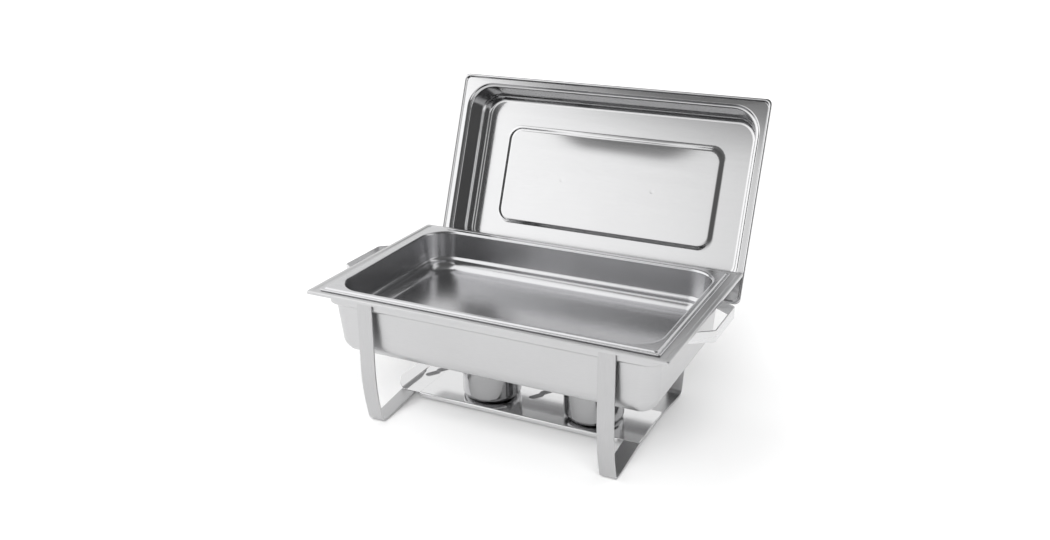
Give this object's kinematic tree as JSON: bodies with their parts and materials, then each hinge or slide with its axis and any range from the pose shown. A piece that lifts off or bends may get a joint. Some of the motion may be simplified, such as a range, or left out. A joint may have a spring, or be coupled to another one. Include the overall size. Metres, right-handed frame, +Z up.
{
  "type": "chafing dish",
  "caption": "Catering food warmer with a shouldered water pan on a bent strip frame, a lift-out food pan, a deep lid stored upright behind and fuel burners with swing dampers.",
  "frame": {"origin": "on the floor, under the middle of the bounding box of the whole set with its lid stored upright", "axes": "+Z up, -Y towards the front, +X towards the right when seen from the front"},
  "size_m": [0.6064, 0.528, 0.4532],
  "materials": {
    "frame_steel": "satin",
    "shelf_steel": "polished",
    "water_pan_steel": "satin",
    "food_pan_steel": "semi-polished",
    "lid_steel": "semi-polished",
    "handle_steel": "satin",
    "burner_steel": "polished",
    "rivet_steel": "satin"
  },
  "bodies": {
    "frame": {"frame_side_left": "frame_steel", "frame_side_right": "frame_steel", "rail_front": "frame_steel", "rail_rear": "frame_steel", "burner_shelf": "shelf_steel", "lid_rest_left": "frame_steel", "lid_rest_right": "frame_steel"},
    "water_pan": {"water_pan": "water_pan_steel", "pan_handle_left": "handle_steel", "pan_handle_right": "handle_steel"},
    "food_pan": {"food_pan": "food_pan_steel"},
    "lid": {"lid": "lid_steel", "lid_handle": "handle_steel"},
    "burner_1_cup": {"burner_1_cup": "burner_steel"},
    "burner_1_cover": {"burner_1_cover": "burner_steel", "burner_1_rivet": "rivet_steel"},
    "burner_1_damper": {"burner_1_damper": "burner_steel"},
    "burner_2_cup": {"burner_2_cup": "burner_steel"},
    "burner_2_cover": {"burner_2_cover": "burner_steel", "burner_2_rivet": "rivet_steel"},
    "burner_2_damper": {"burner_2_damper": "burner_steel"}
  },
  "joints": [
    {"name": "water_pan_lift", "type": "slide", "parent": "frame", "child": "water_pan", "axis": [0, 0, 1], "range_m": [0, 0.12]},
    {"name": "food_pan_lift", "type": "slide", "parent": "water_pan", "child": "food_pan", "axis": [0, 0, 1], "range_m": [0, 0.12]},
    {"name": "lid_lift", "type": "slide", "parent": "frame", "child": "lid", "axis": [0, 0.36, 0.933], "range_m": [0, 0.15]},
    {"name": "burner_1_pull_out", "type": "slide", "parent": "frame", "child": "burner_1_cup", "axis": [0, -1, 0], "range_m": [0, 0.22]},
    {"name": "burner_1_cover_lift", "type": "slide", "parent": "burner_1_cup", "child": "burner_1_cover", "axis": [0, 0, 1], "range_m": [0, 0.024]},
    {"name": "burner_1_damper_turn", "type": "hinge", "parent": "burner_1_cover", "child": "burner_1_damper", "pos_m": [-0.08293, -0.11584, 0.0719], "axis": [0, 0, 1], "range_deg": [0, 80]},
    {"name": "burner_2_pull_out", "type": "slide", "parent": "frame", "child": "burner_2_cup", "axis": [0, -1, 0], "range_m": [0, 0.22]},
    {"name": "burner_2_cover_lift", "type": "slide", "parent": "burner_2_cup", "child": "burner_2_cover", "axis": [0, 0, 1], "range_m": [0, 0.024]},
    {"name": "burner_2_damper_turn", "type": "hinge", "parent": "burner_2_cover", "child": "burner_2_damper", "pos_m": [0.09207, -0.11584, 0.0719], "axis": [0, 0, 1], "range_deg": [0, 80]}
  ]
}
